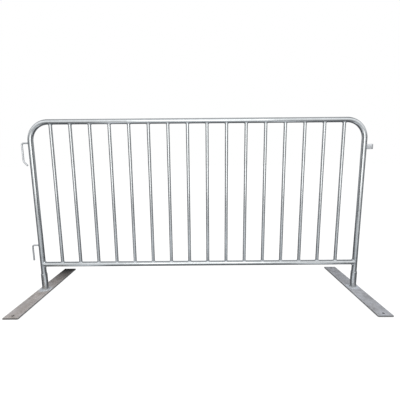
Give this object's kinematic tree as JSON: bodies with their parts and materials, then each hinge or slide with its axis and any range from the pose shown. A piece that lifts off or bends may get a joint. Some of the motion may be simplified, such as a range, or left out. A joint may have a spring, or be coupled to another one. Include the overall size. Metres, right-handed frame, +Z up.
{
  "type": "crowd control barrier",
  "caption": "Interlocking steel pedestrian barrier: a bent tube hoop with upright infill bars, end hooks, a strap receiver and flat feet that swivel on the legs.",
  "frame": {"origin": "on the ground under the foot plates, midway between the two outermost points of the hook and the receiver, in the panel's middle plane", "axes": "+X along the barrier from the hook post to the receiver post, +Z up, +Y towards the rear; the panel lies in the XZ plane"},
  "size_m": [2.1775, 0.685, 1.11],
  "materials": {
    "galvanised_tube": "hot-dip galvanised, dull bright grey",
    "galvanised_plate": "hot-dip galvanised plate, mottled mid grey, scuffed",
    "galvanised_weld": "galvanised weld bead"
  },
  "bodies": {
    "panel": {"hoop_tube": "galvanised_tube", "bottom_rail": "galvanised_tube", "infill_bar_01": "galvanised_tube", "infill_bar_02": "galvanised_tube", "infill_bar_03": "galvanised_tube", "infill_bar_04": "galvanised_tube", "infill_bar_05": "galvanised_tube", "infill_bar_06": "galvanised_tube", "infill_bar_07": "galvanised_tube", "infill_bar_08": "galvanised_tube", "infill_bar_09": "galvanised_tube", "infill_bar_10": "galvanised_tube", "infill_bar_11": "galvanised_tube", "infill_bar_12": "galvanised_tube", "infill_bar_13": "galvanised_tube", "infill_bar_14": "galvanised_tube", "infill_bar_15": "galvanised_tube", "infill_bar_16": "galvanised_tube", "upper_hook": "galvanised_tube", "lower_hook": "galvanised_tube", "receiver_strap": "galvanised_tube", "bar_welds_top": "galvanised_weld", "bar_welds_bottom": "galvanised_weld", "rail_end_welds": "galvanised_weld", "hook_welds": "galvanised_weld", "receiver_welds": "galvanised_weld"},
    "left_foot": {"left_foot_socket": "galvanised_tube", "left_foot_plate": "galvanised_plate", "left_socket_weld": "galvanised_weld"},
    "right_foot": {"right_foot_socket": "galvanised_tube", "right_foot_plate": "galvanised_plate", "right_socket_weld": "galvanised_weld"}
  },
  "joints": [
    {"name": "left_foot_swivel", "type": "hinge", "parent": "panel", "child": "left_foot", "pos_m": [-1.031, 0, 0.008], "axis": [0, 0, 1], "continuous": true},
    {"name": "right_foot_swivel", "type": "hinge", "parent": "panel", "child": "right_foot", "pos_m": [1.031, 0, 0.008], "axis": [0, 0, 1], "continuous": true}
  ]
}
